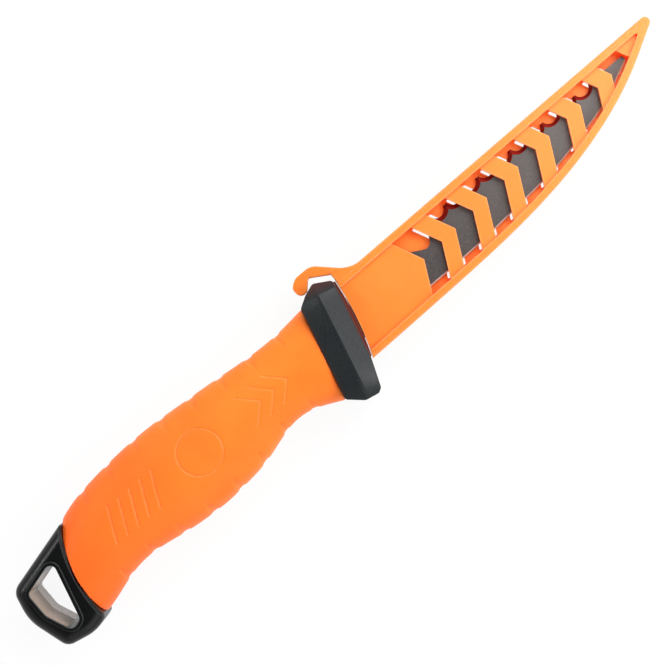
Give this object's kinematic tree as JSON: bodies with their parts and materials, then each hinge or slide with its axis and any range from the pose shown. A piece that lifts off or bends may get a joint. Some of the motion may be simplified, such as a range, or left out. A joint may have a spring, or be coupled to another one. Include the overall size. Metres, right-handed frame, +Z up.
{
  "type": "fillet knife with sheath",
  "caption": "Bait and fillet knife with an orange overmoulded grip, black guard and butt cap, in its windowed orange sheath.",
  "frame": {"origin": "bottom centre of the whole knife in its sheath, lying on its side", "axes": "+X along the blade towards the tip, +Y towards the blade's spine, +Z up through the flat of the blade"},
  "size_m": [0.2767, 0.0455, 0.0245],
  "materials": {
    "blade_steel": "dark speckled coating, bare ground edges",
    "guard_plastic": "satin black nylon",
    "core_plastic": "plain black nylon, hidden",
    "pin_steel": "plain steel, hidden",
    "grip_rubber": "soft matt overmould",
    "cap_plastic": "satin black nylon",
    "sheath_plastic": "semi-gloss injection moulding"
  },
  "bodies": {
    "knife": {"blade": "blade_steel", "guard": "guard_plastic", "core_left": "core_plastic", "core_right": "core_plastic", "guard_pin": "pin_steel", "tang_pin_front": "pin_steel", "tang_pin_rear": "pin_steel", "cap_pin": "pin_steel", "grip": "grip_rubber", "butt_cap": "cap_plastic"},
    "sheath": {"sheath": "sheath_plastic"},
    "latch": {"latch": "sheath_plastic"}
  },
  "joints": [
    {"name": "sheath_slide", "type": "slide", "parent": "knife", "child": "sheath", "axis": [1, 0, 0], "range_m": [0, 0.14], "deforming": ["latch"]},
    {"name": "latch_bend", "type": "hinge", "parent": "sheath", "child": "latch", "pos_m": [0.00797, 0.0162, 0.01225], "axis": [0, 0, -1], "range_deg": [0, 8], "stiffness_Nm_per_rad": 0.5}
  ]
}
